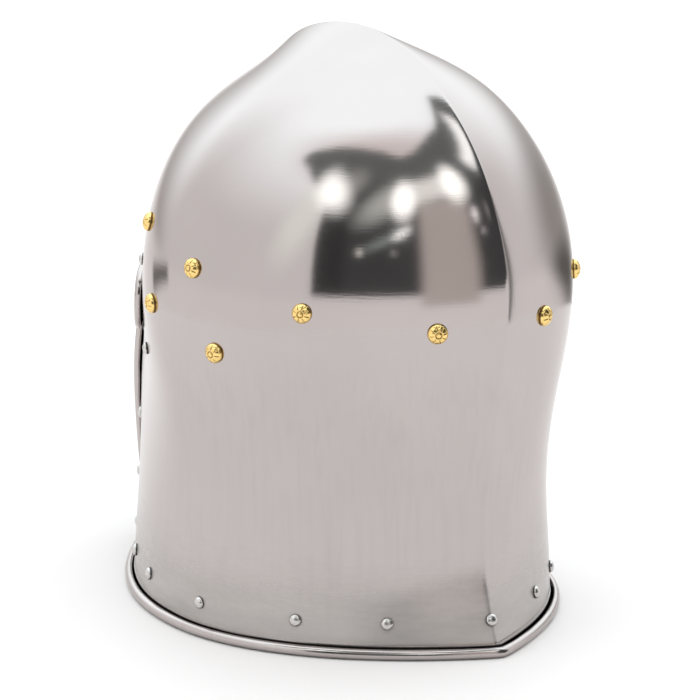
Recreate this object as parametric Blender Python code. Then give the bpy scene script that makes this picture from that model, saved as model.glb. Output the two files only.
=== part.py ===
"""A barbute: a one-piece steel helmet with a keel, a rolled edge, steel rivets and brass rosettes.

The helmet stands on its rim and faces -Y. Its keel runs down the back at +Y, and the wearer's left is +X.
Sizes are in metres. A row number counts up the table of sections from the rim (0) to the apex, and a turn
goes round the plate from the keel at the back (1) past the widest place (0) to the front (-1).
"""

import cmath
import math
from collections import namedtuple

import bmesh
import bpy
import numpy as np
from mathutils import Vector
from mathutils.bvhtree import BVHTree

# The bowl
HEIGHT = 0.290
HALF_WIDTH = 0.1057
BACK_LENGTH = 0.1275  # from the widest place to the keel
FRONT_LENGTH = 0.1899  # from the widest place to where the two cheeks would meet
WALL = 0.0016
APEX_WALL = 0.0021  # the plate's thickness straight down under the apex
SHOULDER = 0.15  # how softly the side turns into the cheek
CHEEK_SWEEP = 0.8  # share of a quarter turn that spreads the columns over the cheek

# The rolled edge
ROLL_RADIUS = 0.0027
ROLL_BITE = 0.0007  # how far the roll and the plate share metal
EDGE_TUCK = 0.0005  # how far the plate's rim stops inside the roll
CUT_TUCK = 0.0007  # the same at the face opening

# The face opening
SLIT_HALF_WIDTH = 0.0135
SLIT_FLARE = 0.0015
EYE_HALF_WIDTH = 0.0660
CHEEK_TOP = 0.1225
EYE_BOTTOM = 0.1330
EYE_TOP = 0.1540
BROW_ARCH = 0.0045
BROW_PEAK = 0.5  # where the brow is highest, as a share of EYE_HALF_WIDTH
BROW_DIP = 0.0060
BROW_ROUND = 0.0400
RIM_CORNER = 0.0090
CHEEK_CORNER = 0.0150
EYE_CORNER = 0.0085

# Rivets
RIVET_RADIUS = 0.0032
RIVET_HEIGHT = 0.0024
ROSETTE_RADIUS = 0.0050
ROSETTE_HEIGHT = 0.0037
ROSETTE_NOTCH = 0.12  # depth of the notches between petals, as a share of the radius
PETALS = 8
DOME_CREST = 0.66  # radius of the ring where the head turns over, as a share of the head's radius
ROSETTE_CREST = 0.72
CREST_LEVEL = 0.72  # height of that ring, as a share of the head's height
SHANK_RADIUS = 0.0015
TAIL_RADIUS = 0.0023
TAIL_HEIGHT = 0.0008
EDGE_INSET = 0.0150  # how far the face rivets stand from the opening, seen from the front
SLIT_INSET = 0.0115  # the same at the slit, where the cheek is seen at a slant
SEAT_GAP = 0.0003
HOLE_GAP = 0.0003

# How finely the solids are faceted
COLUMNS = 24
ROLL_SIDES = 8
ROUND_SIDES = 8
CORNER_STEPS = 4
STEP_LENGTH = 0.0060
PROBE = 0.0080  # how far off the plate a rivet looks for its seat
BELOW = 0.0100  # how far the face cutter reaches under the rim

# Heights are shares of HEIGHT, half widths of HALF_WIDTH, middles and backs of BACK_LENGTH, fronts of
# FRONT_LENGTH. The ridge is the sine of the angle at which the flank meets the keel's mid-plane, and the
# fullness is the power that bends the cheek: 2 is round, 1 is straight.
Section = namedtuple("Section", "height half_width middle back front ridge fullness")
SECTIONS = (
    Section(0.000, 0.937, 0.111, 0.969, 0.866, 0.571, 2.07),
    Section(0.100, 0.937, 0.137, 0.863, 0.946, 0.465, 1.74),
    Section(0.220, 0.912, 0.142, 0.838, 0.998, 0.369, 1.47),
    Section(0.350, 0.926, 0.141, 0.874, 1.000, 0.295, 1.32),
    Section(0.480, 0.985, 0.124, 0.951, 0.887, 0.252, 1.42),
    Section(0.610, 1.000, 0.100, 1.000, 0.727, 0.241, 1.67),
    Section(0.730, 0.919, 0.102, 0.935, 0.667, 0.255, 1.72),
    Section(0.830, 0.745, 0.137, 0.776, 0.585, 0.283, 1.71),
    Section(0.910, 0.494, 0.183, 0.553, 0.409, 0.318, 1.69),
    Section(0.970, 0.173, 0.183, 0.325, 0.263, 0.358, 1.85),
    Section(1.000, 0.000, 0.153, 0.000, 0.000, 0.399, 2.12),
)
APEX = len(SECTIONS) - 1
BODY_ROWS = np.linspace(0, APEX - 1, 18)
OUTER_ROWS = (*BODY_ROWS, APEX - 0.6, APEX - 0.3, APEX - 0.1)
INNER_ROWS = (*BODY_ROWS, APEX - 0.65, APEX - 0.4)

# Where the rivets stand: the height as a share of HEIGHT, and the turn. Each has a twin on the other side,
# apart from the one on the keel.
Place = namedtuple("Place", "height turn")
RIM_ROW = 0.057
RIM_TURNS = (1, 0.727, 0.459, 0.080, -0.191, -0.370, -0.60, -0.76)
RIM_RIVETS = tuple(Place(RIM_ROW, turn) for turn in RIM_TURNS)

# The face rivets follow the opening: their places are as seen from the front, and the shares are of the
# height of the slit and of the width of the eyes
Spot = namedtuple("Spot", "x z")
FACE_RIVETS = (
    Spot(SLIT_HALF_WIDTH + 2 * SLIT_INSET, 0.32 * CHEEK_TOP),
    Spot(SLIT_HALF_WIDTH + SLIT_INSET, 0.53 * CHEEK_TOP),
    Spot(EYE_HALF_WIDTH + 1.1 * EDGE_INSET, EYE_BOTTOM - 0.4 * EDGE_INSET),
    Spot(EYE_HALF_WIDTH + 0.9 * EDGE_INSET, EYE_TOP + 1.1 * EDGE_INSET),
    Spot(0.70 * EYE_HALF_WIDTH, EYE_TOP + 1.2 * EDGE_INSET),
    Spot(0.25 * EYE_HALF_WIDTH, EYE_TOP + 1.2 * EDGE_INSET),
)
ROSETTES = (
    Place(0.557, 0.818),
    Place(0.587, 0.462),
    Place(0.635, 0.107),
    Place(0.674, -0.215),
    Place(0.697, -0.600),
    Place(0.501, 0.181),
    Place(0.551, -0.101),
)

Metal = namedtuple("Metal", "name color roughness")
STEEL = Metal("polished_steel", (0.62, 0.60, 0.58, 1), 0.22)
RIVET_STEEL = Metal("rivet_steel", (0.68, 0.67, 0.66, 1), 0.18)
BRASS = Metal("brass", (0.83, 0.60, 0.20, 1), 0.25)


def clear_scene():
    for obj in list(bpy.data.objects):
        bpy.data.objects.remove(obj)


def smooth_column(values, flat_end=False):
    """A natural cubic spline through values at rows 0, 1, 2 and on. A flat end has no slope at the apex."""
    values = np.array(values)
    count = len(values)
    system = 4 * np.eye(count) + np.eye(count, k=1) + np.eye(count, k=-1)
    right = np.empty(count)
    right[1:-1] = 3 * (values[2:] - values[:-2])
    system[0, 0] = 2
    right[0] = 3 * (values[1] - values[0])
    system[-1, -2:] = (0, 1) if flat_end else (1, 2)
    right[-1] = 0 if flat_end else 3 * (values[-1] - values[-2])
    slopes = np.linalg.solve(system, right)

    def read(row):
        start = np.clip(np.floor(row).astype(int), 0, count - 2)
        part = row - start
        below, above = values[start], values[start + 1]
        rise, fall = slopes[start], slopes[start + 1]
        curve = (3 * (above - below) - 2 * rise - fall) * part**2
        return below + rise * part + curve + (2 * (below - above) + rise + fall) * part**3

    return read


TABLE = Section(*zip(*SECTIONS))
HEIGHT_AT = smooth_column(np.array(TABLE.height) * HEIGHT, flat_end=True)
HALF_WIDTH_AT = smooth_column(np.array(TABLE.half_width) * HALF_WIDTH, flat_end=True)
MIDDLE_AT = smooth_column(np.array(TABLE.middle) * BACK_LENGTH)
BACK_AT = smooth_column(np.array(TABLE.back) * BACK_LENGTH)
FRONT_AT = smooth_column(np.array(TABLE.front) * FRONT_LENGTH)
RIDGE_AT = smooth_column(TABLE.ridge)
FULLNESS_AT = smooth_column(TABLE.fullness)
SWEEP = CHEEK_SWEEP * math.pi / 2


def cheek_bend(forward, fullness):
    """How far the cheek has closed in, from 0 at the widest place to 1 where the cheeks would meet."""
    low = SHOULDER**fullness
    high = (1 + SHOULDER**2) ** (fullness / 2)
    return ((forward**2 + SHOULDER**2) ** (fullness / 2) - low) / (high - low)


def plate_points(row, turn):
    """Points of the plate's outer face on the wearer's left. Row and turn are arrays of one shape."""
    row, turn = np.broadcast_arrays(np.asarray(row, float), np.asarray(turn, float))
    width, middle, ridge = HALF_WIDTH_AT(row), MIDDLE_AT(row), RIDGE_AT(row)
    keel_angle = np.arcsin(ridge)
    angle = math.pi / 2 - np.abs(turn) * (math.pi / 2 - keel_angle)
    back_x = width * (np.sin(angle) - ridge) / (1 - ridge)
    back_y = middle + BACK_AT(row) * np.cos(angle) / np.cos(keel_angle)
    forward = np.sin(np.abs(turn) * SWEEP) / math.sin(SWEEP)
    front_x = width * (1 - cheek_bend(forward, FULLNESS_AT(row)))
    front_y = middle - FRONT_AT(row) * forward
    x = np.where(turn >= 0, back_x, front_x)
    y = np.where(turn >= 0, back_y, front_y)
    return np.stack([x, y, HEIGHT_AT(row)], -1)


def plate_normals(row, turn):
    """Outward normals of the plate on the wearer's left."""
    row, turn = np.broadcast_arrays(np.asarray(row, float), np.asarray(turn, float))
    small = 1e-4
    above, below = np.minimum(row + small, APEX), np.maximum(row - small, 0)
    behind, ahead = np.minimum(turn + small, 1), np.maximum(turn - small, -1)
    up = plate_points(above, turn) - plate_points(below, turn)
    backwards = plate_points(row, behind) - plate_points(row, ahead)
    normals = np.cross(backwards, up)
    return normals / np.linalg.norm(normals, axis=-1, keepdims=True)


def row_at(height):
    rows = np.linspace(0, APEX, 4001)
    return np.interp(height, HEIGHT_AT(rows), rows)


def front_turn(x, row):
    """The turn at which the cheek or brow lies this far from the mid-plane."""
    fullness = FULLNESS_AT(row)
    low = SHOULDER**fullness
    high = (1 + SHOULDER**2) ** (fullness / 2)
    bend = 1 - np.abs(x) / HALF_WIDTH_AT(row)
    forward = np.sqrt(np.maximum((low + bend * (high - low)) ** (2 / fullness) - SHOULDER**2, 0))
    return -np.arcsin(np.minimum(forward * math.sin(SWEEP), 1)) / SWEEP


def front_place(spot):
    """The place on the plate that lies here when seen from the front."""
    return Place(spot.z / HEIGHT, float(front_turn(spot.x, row_at(spot.z))))


def mirrored(vector):
    return np.array(vector) * (-1, 1, 1)


def metal_material(metal):
    material = bpy.data.materials.get(metal.name) or bpy.data.materials.new(metal.name)
    material.use_nodes = True
    shader = material.node_tree.nodes["Principled BSDF"]
    shader.inputs["Base Color"].default_value = metal.color
    shader.inputs["Metallic"].default_value = 1.0
    shader.inputs["Roughness"].default_value = metal.roughness
    material.diffuse_color = metal.color
    return material


def add_object(name, points, faces, metal=None, parent=None):
    mesh = bpy.data.meshes.new(name)
    mesh.from_pydata([tuple(point) for point in points], [], faces)
    shape = bmesh.new()
    shape.from_mesh(mesh)
    bmesh.ops.recalc_face_normals(shape, faces=shape.faces)
    shape.to_mesh(mesh)
    shape.free()
    mesh.validate()
    obj = bpy.data.objects.new(name, mesh)
    bpy.context.scene.collection.objects.link(obj)
    obj.parent = parent
    if metal:
        mesh.materials.append(metal_material(metal))
        mesh.shade_smooth()
        mesh.set_sharp_from_angle(angle=math.radians(30))
    else:
        obj.hide_render = True
        obj.display_type = "WIRE"
    return obj


def ring_faces(first, second, count):
    """Quads between two rings of this many points, which start at these indices."""
    return [
        (first + i, first + (i + 1) % count, second + (i + 1) % count, second + i)
        for i in range(count)
    ]


def plate_ring(row, depth):
    """A ring of the plate, this deep under its outer face, from the keel by the left and round to it."""
    turns = np.linspace(1, -1, COLUMNS + 1)
    points, normals = plate_points(row, turns), plate_normals(row, turns)
    # The two flanks meet at the keel, so a point there moves along their mitre
    for end in (0, -1):
        mitre = normals[end] + mirrored(normals[end])
        normals[end] = mitre / (1 + normals[end] @ mirrored(normals[end]))
    left = points - depth * normals
    ring = np.concatenate([left, mirrored(left[-2:0:-1])])
    if row == 0:
        ring[:, 2] = EDGE_TUCK
    return ring


def add_shell(parent):
    """The bowl as one closed shell: an outer skin, an inner skin and the edge between them."""
    around = 2 * COLUMNS
    outer = [plate_ring(row, 0) for row in OUTER_ROWS]
    inner = [plate_ring(row, WALL) for row in INNER_ROWS]
    apex = np.array([0, float(MIDDLE_AT(np.array(APEX))), HEIGHT])
    points = np.concatenate([*outer, [apex], *inner, [apex - (0, 0, APEX_WALL)]])
    inner_start = len(outer) * around + 1
    faces = ring_faces(0, inner_start, around)
    for start, rings in ((0, outer), (inner_start, inner)):
        tip = start + len(rings) * around
        for i in range(len(rings) - 1):
            faces += ring_faces(start + i * around, start + (i + 1) * around, around)
        last = tip - around
        faces += [(last + i, last + (i + 1) % around, tip) for i in range(around)]
    return add_object("skull_bowl", points, faces, STEEL, parent)


Corner = namedtuple("Corner", "x z radius")


def opening_corners():
    """The left half of the face opening's edge, seen from the front, from the rim up to the brow's middle."""
    rim_x = SLIT_HALF_WIDTH + SLIT_FLARE
    return (
        Corner(rim_x + 2 * RIM_CORNER, 0, 0),
        Corner(rim_x, 0, RIM_CORNER),
        Corner(SLIT_HALF_WIDTH, CHEEK_TOP, CHEEK_CORNER),
        Corner(EYE_HALF_WIDTH, EYE_BOTTOM, EYE_CORNER),
        Corner(EYE_HALF_WIDTH, EYE_TOP, EYE_CORNER),
        Corner(BROW_PEAK * EYE_HALF_WIDTH, EYE_TOP + BROW_ARCH, BROW_ROUND),
        Corner(0, EYE_TOP + BROW_ARCH - BROW_DIP, 0),
    )


def unit(number):
    return number / abs(number)


def rounded(corners):
    """Points x + iz on the path through the corners, with the inner ones rounded."""
    spots = [complex(corner.x, corner.z) for corner in corners]
    path = []
    for before, here, after, corner in zip(spots, spots[1:], spots[2:], corners[1:]):
        back, ahead = unit(before - here), unit(after - here)
        half = abs(cmath.phase(ahead / back)) / 2
        centre = here + unit(back + ahead) * corner.radius / math.sin(half)
        start = here + back * corner.radius / math.tan(half) - centre
        end = here + ahead * corner.radius / math.tan(half) - centre
        sweep = cmath.phase(end / start)
        steps = max(2, round(CORNER_STEPS * abs(sweep) / (math.pi / 2)))
        path += [centre + start * cmath.exp(1j * sweep * i / steps) for i in range(steps + 1)]
    path.append(spots[-1])
    return path


def stepped(path, length):
    """The path with points added along its long straights."""
    finished = path[:1]
    for start, end in zip(path, path[1:]):
        pieces = max(1, round(abs(end - start) / length))
        finished += [start + (end - start) * (i + 1) / pieces for i in range(pieces)]
    return finished


def add_face_cutter(parent):
    """A prism through the front, a little wider than the opening, so that the plate ends inside the roll."""
    edge = stepped(rounded(opening_corners()), STEP_LENGTH)
    outline = [complex(edge[0].real + CUT_TUCK, -BELOW)]
    for before, here, after in zip([edge[0] + 1, *edge], edge, [*edge[1:], -edge[-2].conjugate()]):
        sideways = unit(unit(here - before) + unit(after - here)) * -1j
        outline.append(here + CUT_TUCK * sideways)
    outline[-1] = complex(0, outline[-1].imag)
    outline += [-spot.conjugate() for spot in outline[-2::-1]]
    count = len(outline)
    points = [(spot.real, y, spot.imag) for y in (0, -2 * FRONT_LENGTH) for spot in outline]
    faces = ring_faces(0, count, count) + [tuple(range(count)), tuple(range(count, 2 * count))]
    return add_object("face_cutter", points, faces, parent=parent)


def edge_line():
    """Rows and turns on the left half of the edge, from the brow down the slit and round to the keel."""
    opening = stepped(rounded(opening_corners()), STEP_LENGTH)[::-1]
    x, z = np.array([(spot.real, spot.imag) for spot in opening]).T
    rows = row_at(z)
    turns = front_turn(x, rows)
    rim_steps = round((1 - turns[-1]) * COLUMNS / 2)
    rim_turns = np.linspace(turns[-1], 1, rim_steps + 1)[1:]
    return np.concatenate([rows, 0 * rim_turns]), np.concatenate([turns, rim_turns])


def add_roll(parent):
    """The rolled edge as a closed tube whose outer side lies on the helmet's edge line."""
    rows, turns = edge_line()
    points, normals = plate_points(rows, turns), plate_normals(rows, turns)
    points[0, 0] = points[-1, 0] = 0
    at_rim = rows == 0
    normals[at_rim, 2] = 0
    normals /= np.linalg.norm(normals, axis=1, keepdims=True)
    whole = np.concatenate([mirrored(points[1:2]), points, mirrored(points[-2:-1])])
    along = whole[2:] - whole[:-2]
    along /= np.linalg.norm(along, axis=1, keepdims=True)
    for end in (0, -1):
        mitre = normals[end] + mirrored(normals[end])
        normals[end] = mitre / (1 + normals[end] @ mirrored(normals[end]))
    inward = np.cross(normals, along)
    inward /= np.linalg.norm(inward, axis=1, keepdims=True)
    centres = points + normals * (ROLL_RADIUS - ROLL_BITE) + inward * ROLL_RADIUS
    corner_radius = ROLL_RADIUS / math.cos(math.pi / ROLL_SIDES)
    angles = (np.arange(ROLL_SIDES) + 0.5) * 2 * math.pi / ROLL_SIDES
    rings = [
        centre + corner_radius * (np.outer(np.cos(angles), normal) + np.outer(np.sin(angles), side))
        for centre, normal, side in zip(centres, normals, inward)
    ]
    rings += [mirrored(ring) for ring in rings[-2:0:-1]]
    faces = []
    for i in range(len(rings)):
        faces += ring_faces(i * ROLL_SIDES, (i + 1) % len(rings) * ROLL_SIDES, ROLL_SIDES)
    return add_object("roll_tube", np.concatenate(rings), faces, parent=parent)


def cut_or_join(obj, other, operation):
    modifier = obj.modifiers.new(other.name, "BOOLEAN")
    modifier.operation = operation
    modifier.object = other
    modifier.solver = "MANIFOLD"


def surface_tree(obj):
    bpy.context.view_layer.update()
    return BVHTree.FromObject(obj, bpy.context.evaluated_depsgraph_get())


def axes_at(place, side):
    """The point of the plate's outer face at this place, its normal and two directions across it."""
    row = row_at(place.height * HEIGHT)
    point, normal = plate_points(row, place.turn), plate_normals(row, place.turn)
    if place.turn == 1:
        point[0] = normal[0] = 0
    point, normal = (Vector(vector * (side, 1, 1)) for vector in (point, normal))
    normal.normalize()
    across = normal.cross(Vector((0, 0, 1))).normalized()
    return point, normal, across, normal.cross(across)


def plate_level(tree, place, side, radius, outside):
    """The height over the place's tangent plane at which a flat disc of this radius meets the plate."""
    point, normal, across, up = axes_at(place, side)
    way = 1 if outside else -1
    levels = []
    for i in range(ROUND_SIDES + 1):
        angle = 2 * math.pi * i / ROUND_SIDES
        spread = radius if i else 0
        start = point + spread * (math.cos(angle) * across + math.sin(angle) * up) + way * PROBE * normal
        hit = tree.ray_cast(start, -way * normal)[0]
        levels.append((hit - point).dot(normal))
    return max(levels) if outside else min(levels)


def turned_piece(name, rings, parent, metal):
    """A closed body from rings of points, each (radius, height, depth of its notches), and two tips."""
    sides = 2 * PETALS if any(ring.notch for ring in rings) else ROUND_SIDES
    points = [(0, 0, rings[0].tip)]
    for ring in rings:
        for i in range(sides):
            angle = 2 * math.pi * i / sides
            radius = ring.radius * (1 - ring.notch * (i % 2))
            points.append((radius * math.cos(angle), radius * math.sin(angle), ring.level))
    points.append((0, 0, rings[-1].tip))
    last = 1 + (len(rings) - 1) * sides
    faces = [(0, 1 + i, 1 + (i + 1) % sides) for i in range(sides)]
    faces += [(last + i, last + (i + 1) % sides, len(points) - 1) for i in range(sides)]
    for i in range(len(rings) - 1):
        faces += ring_faces(1 + i * sides, 1 + (i + 1) * sides, sides)
    return add_object(name, points, faces, metal, parent)


Ring = namedtuple("Ring", "radius level notch tip")
Head = namedtuple("Head", "radius height notch crest metal")
DOME = Head(RIVET_RADIUS, RIVET_HEIGHT, 0, DOME_CREST, RIVET_STEEL)
FLOWER = Head(ROSETTE_RADIUS, ROSETTE_HEIGHT, ROSETTE_NOTCH, ROSETTE_CREST, BRASS)


def add_rivet(name, place, side, head, tree, parent):
    """A rivet through its hole: the head outside, the shank in the plate, the hammered tail inside."""
    point, normal, _, _ = axes_at(place, side)
    seat = plate_level(tree, place, side, head.radius, True) + SEAT_GAP
    grip = plate_level(tree, place, side, TAIL_RADIUS, False) - SEAT_GAP
    crest = seat + CREST_LEVEL * head.height
    rings = (
        Ring(head.crest * head.radius, crest, head.notch / 2, seat + head.height),
        Ring(head.radius, seat, head.notch, None),
        Ring(SHANK_RADIUS, seat, 0, None),
        Ring(SHANK_RADIUS, grip, 0, None),
        Ring(TAIL_RADIUS, grip, 0, grip - TAIL_HEIGHT),
    )
    obj = turned_piece(name, rings, parent, head.metal)
    obj.location = point
    obj.rotation_euler = normal.to_track_quat("Z", "Y").to_euler()
    return obj


def add_hole_cutter(rivets, parent):
    """One cutter with a plain round pin for each rivet's hole."""
    shape = bmesh.new()
    for rivet in rivets:
        turn = rivet.rotation_euler.to_matrix().to_4x4()
        turn.translation = rivet.location
        bmesh.ops.create_cone(
            shape,
            cap_ends=True,
            segments=ROUND_SIDES,
            radius1=SHANK_RADIUS + HOLE_GAP,
            radius2=SHANK_RADIUS + HOLE_GAP,
            depth=2 * PROBE,
            matrix=turn,
        )
    mesh = bpy.data.meshes.new("hole_cutter")
    shape.to_mesh(mesh)
    shape.free()
    cutter = bpy.data.objects.new("hole_cutter", mesh)
    bpy.context.scene.collection.objects.link(cutter)
    cutter.parent = parent
    cutter.hide_render = True
    cutter.display_type = "WIRE"
    return cutter


def add_rivets(kind, places, head, tree, parent):
    made = []
    for number, place in enumerate(places, 1):
        for side, letter in ((1, "l"), (-1, "r")):
            if place.turn == 1 and side == -1:
                continue
            letter = "keel" if place.turn == 1 else letter
            made.append(add_rivet(f"{kind}_{number}_{letter}", place, side, head, tree, parent))
    return made


def stand_on_rim(helmet, bowl):
    """Moves the helmet so that its box is centred on the origin and stands at height 0."""
    bpy.context.view_layer.update()
    mesh = bowl.evaluated_get(bpy.context.evaluated_depsgraph_get()).to_mesh()
    points = np.array([vertex.co for vertex in mesh.vertices])
    low, high = points.min(axis=0), points.max(axis=0)
    helmet.location = (0, -(low[1] + high[1]) / 2, -low[2])


def main():
    clear_scene()
    helmet = bpy.data.objects.new("barbute", None)
    bpy.context.scene.collection.objects.link(helmet)
    bowl = add_shell(helmet)
    tree = surface_tree(bowl)
    cut_or_join(bowl, add_face_cutter(helmet), "DIFFERENCE")
    cut_or_join(bowl, add_roll(helmet), "UNION")
    rivets = add_rivets("rim_rivet", RIM_RIVETS, DOME, tree, helmet)
    rivets += add_rivets("face_rivet", [front_place(spot) for spot in FACE_RIVETS], DOME, tree, helmet)
    rivets += add_rivets("rosette", ROSETTES, FLOWER, tree, helmet)
    cut_or_join(bowl, add_hole_cutter(rivets, helmet), "DIFFERENCE")
    stand_on_rim(helmet, bowl)


main()
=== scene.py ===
# %% [markdown]
# # A polished steel barbute, seen from behind
#
# A barbute is a one-piece war helmet. One sheet of steel is raised into the skull, the neck guard and the two
# cheeks, its edge is rolled over a wire so that it neither cuts nor buckles, and two sorts of rivets are set
# in it: plain steel ones above the rim and beside the face opening, and brass ones with a flower head, which
# held a lining band.
#
# The lesson loads the measured CAD model as a fixed frame, then dresses it: the plate, the rolled edge, the
# rivets, three metals and a small photo studio.

# %% Load the frame
import math

import bmesh
import bpy
import numpy as np
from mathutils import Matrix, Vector
from mathutils.geometry import delaunay_2d_cdt


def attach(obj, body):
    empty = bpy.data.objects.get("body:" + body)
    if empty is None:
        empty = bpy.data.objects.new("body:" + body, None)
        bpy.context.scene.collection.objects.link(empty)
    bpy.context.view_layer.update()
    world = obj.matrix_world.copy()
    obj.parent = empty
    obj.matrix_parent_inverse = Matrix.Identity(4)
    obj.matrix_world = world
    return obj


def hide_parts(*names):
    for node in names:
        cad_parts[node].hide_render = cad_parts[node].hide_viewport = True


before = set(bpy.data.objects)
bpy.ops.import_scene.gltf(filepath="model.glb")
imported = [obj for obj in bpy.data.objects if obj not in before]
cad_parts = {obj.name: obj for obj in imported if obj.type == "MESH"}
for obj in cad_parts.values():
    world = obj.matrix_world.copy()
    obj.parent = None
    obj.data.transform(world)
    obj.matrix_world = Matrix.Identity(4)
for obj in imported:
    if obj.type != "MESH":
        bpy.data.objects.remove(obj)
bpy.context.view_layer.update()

# %% [markdown]
# ## The camera
#
# The picture was taken from behind and to the wearer's left, a little over two metres away with a long lens,
# looking slightly down. The numbers were solved from the outline of the helmet, the pairs of rivets and the
# ellipse of the rim. A camera could be aimed by eye, but a solved one lets every later difference be blamed
# on the model and not on the view. It aims at a place under the crown.

# %% Place the camera
AZIMUTH = math.radians(144.798)
ELEVATION = math.radians(13.602)
DISTANCE = 2.1342
CROWN_BEHIND = 0.0195
AIM_HEIGHT = 0.14032
FOCAL_PIXELS = 4304.7
PHOTO_SIDE = 700
SHIFT_PIXELS = (16.40, -34.17)
SENSOR = 36

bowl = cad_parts["skull_bowl"].data
crown = max((vertex.co for vertex in bowl.vertices), key=lambda spot: spot.z)
target = Vector((0, crown.y - CROWN_BEHIND, AIM_HEIGHT))
towards_camera = Vector((
    math.sin(AZIMUTH) * math.cos(ELEVATION),
    -math.cos(AZIMUTH) * math.cos(ELEVATION),
    math.sin(ELEVATION),
))
camera_data = bpy.data.cameras.new("camera")
camera_data.sensor_width = SENSOR
camera_data.lens = FOCAL_PIXELS / PHOTO_SIDE * SENSOR
camera_data.shift_x, camera_data.shift_y = (pixels / PHOTO_SIDE for pixels in SHIFT_PIXELS)
camera = bpy.data.objects.new("camera", camera_data)
camera.location = target + DISTANCE * towards_camera
camera.rotation_euler = towards_camera.to_track_quat("Z", "Y").to_euler()
bpy.context.scene.collection.objects.link(camera)
bpy.context.scene.camera = camera
print("lens", round(camera_data.lens, 1), "mm")

# %% [markdown]
# ## The plate's shape as a table of sections
#
# A smith raises the bowl over stakes, so its surface is smooth everywhere but at the keel. It could be
# sculpted or subdivided from a cage. Here it follows a rule instead: eleven level sections from the rim to
# the apex, each given by a few shares of the helmet's main sizes, with a smooth spline between them. The CAD
# model uses the same table, so the fine plate lies exactly on it.

# %% The table of sections
HEIGHT = 0.290
HALF_WIDTH = 0.1057
BACK_LENGTH = 0.1275
FRONT_LENGTH = 0.1899
WALL = 0.0016
SHOULDER = 0.15
SWEEP = 0.8 * math.pi / 2
ROLL_RADIUS = 0.0027

# height, half width, middle, back, front, ridge, fullness
SECTIONS = np.array((
    (0.000, 0.937, 0.111, 0.969, 0.866, 0.571, 2.07),
    (0.100, 0.937, 0.137, 0.863, 0.946, 0.465, 1.74),
    (0.220, 0.912, 0.142, 0.838, 0.998, 0.369, 1.47),
    (0.350, 0.926, 0.141, 0.874, 1.000, 0.295, 1.32),
    (0.480, 0.985, 0.124, 0.951, 0.887, 0.252, 1.42),
    (0.610, 1.000, 0.100, 1.000, 0.727, 0.241, 1.67),
    (0.730, 0.919, 0.102, 0.935, 0.667, 0.255, 1.72),
    (0.830, 0.745, 0.137, 0.776, 0.585, 0.283, 1.71),
    (0.910, 0.494, 0.183, 0.553, 0.409, 0.318, 1.69),
    (0.970, 0.173, 0.183, 0.325, 0.263, 0.358, 1.85),
    (1.000, 0.000, 0.153, 0.000, 0.000, 0.399, 2.12),
))
APEX = len(SECTIONS) - 1


def smooth_column(values, flat_end=False):
    """A natural cubic spline through values at rows 0, 1, 2 and on. A flat end has no slope at the apex."""
    count = len(values)
    system = 4 * np.eye(count) + np.eye(count, k=1) + np.eye(count, k=-1)
    right = np.empty(count)
    right[1:-1] = 3 * (values[2:] - values[:-2])
    system[0, 0] = 2
    right[0] = 3 * (values[1] - values[0])
    system[-1, -2:] = (0, 1) if flat_end else (1, 2)
    right[-1] = 0 if flat_end else 3 * (values[-1] - values[-2])
    slopes = np.linalg.solve(system, right)

    def read(row):
        start = np.clip(np.floor(row).astype(int), 0, count - 2)
        part = row - start
        below, above = values[start], values[start + 1]
        rise, fall = slopes[start], slopes[start + 1]
        curve = (3 * (above - below) - 2 * rise - fall) * part**2
        return below + rise * part + curve + (2 * (below - above) + rise + fall) * part**3

    return read


SCALES = (HEIGHT, HALF_WIDTH, BACK_LENGTH, BACK_LENGTH, FRONT_LENGTH, 1, 1)
HEIGHT_AT, HALF_WIDTH_AT, MIDDLE_AT, BACK_AT, FRONT_AT, RIDGE_AT, FULLNESS_AT = (
    smooth_column(SECTIONS[:, i] * scale, flat_end=i < 2) for i, scale in enumerate(SCALES)
)

FORWARD_SHIFT = crown.y - float(MIDDLE_AT(np.array(float(APEX))))
print("sections:", len(SECTIONS), "the CAD model stands", round(FORWARD_SHIFT * 1000, 2), "mm further back")

# %% [markdown]
# A point of the plate is named by two numbers. The row counts up the table from the rim (0) to the apex (10).
# The turn goes round the head: 1 is the keel at the back, 0 the widest place over the ear, and -1 the middle
# of the face. The same two numbers give the way that the plate faces there, from two short steps along it.

# %% Points and normals of the plate
def normed(vectors):
    return vectors / np.linalg.norm(vectors, axis=-1, keepdims=True)


def spread(row, turn):
    return np.broadcast_arrays(np.asarray(row, float), np.asarray(turn, float))


def front_curve(row):
    """The exponent, start and reach of the front's curve in this row."""
    fullness = FULLNESS_AT(row)
    low = SHOULDER**fullness
    return fullness, low, (1 + SHOULDER**2) ** (fullness / 2) - low


def plate_points(row, turn):
    """Points of the plate's outer face on the wearer's left."""
    row, turn = spread(row, turn)
    width, middle, ridge = HALF_WIDTH_AT(row), MIDDLE_AT(row) + FORWARD_SHIFT, RIDGE_AT(row)
    keel_angle = np.arcsin(ridge)
    angle = math.pi / 2 - np.abs(turn) * (math.pi / 2 - keel_angle)
    back_x = width * (np.sin(angle) - ridge) / (1 - ridge)
    back_y = middle + BACK_AT(row) * np.cos(angle) / np.cos(keel_angle)
    forward = np.sin(np.abs(turn) * SWEEP) / math.sin(SWEEP)
    fullness, low, reach = front_curve(row)
    bend = ((forward**2 + SHOULDER**2) ** (fullness / 2) - low) / reach
    x = np.where(turn >= 0, back_x, width * (1 - bend))
    y = np.where(turn >= 0, back_y, middle - FRONT_AT(row) * forward)
    return np.stack([x, y, HEIGHT_AT(row)], -1)


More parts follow.
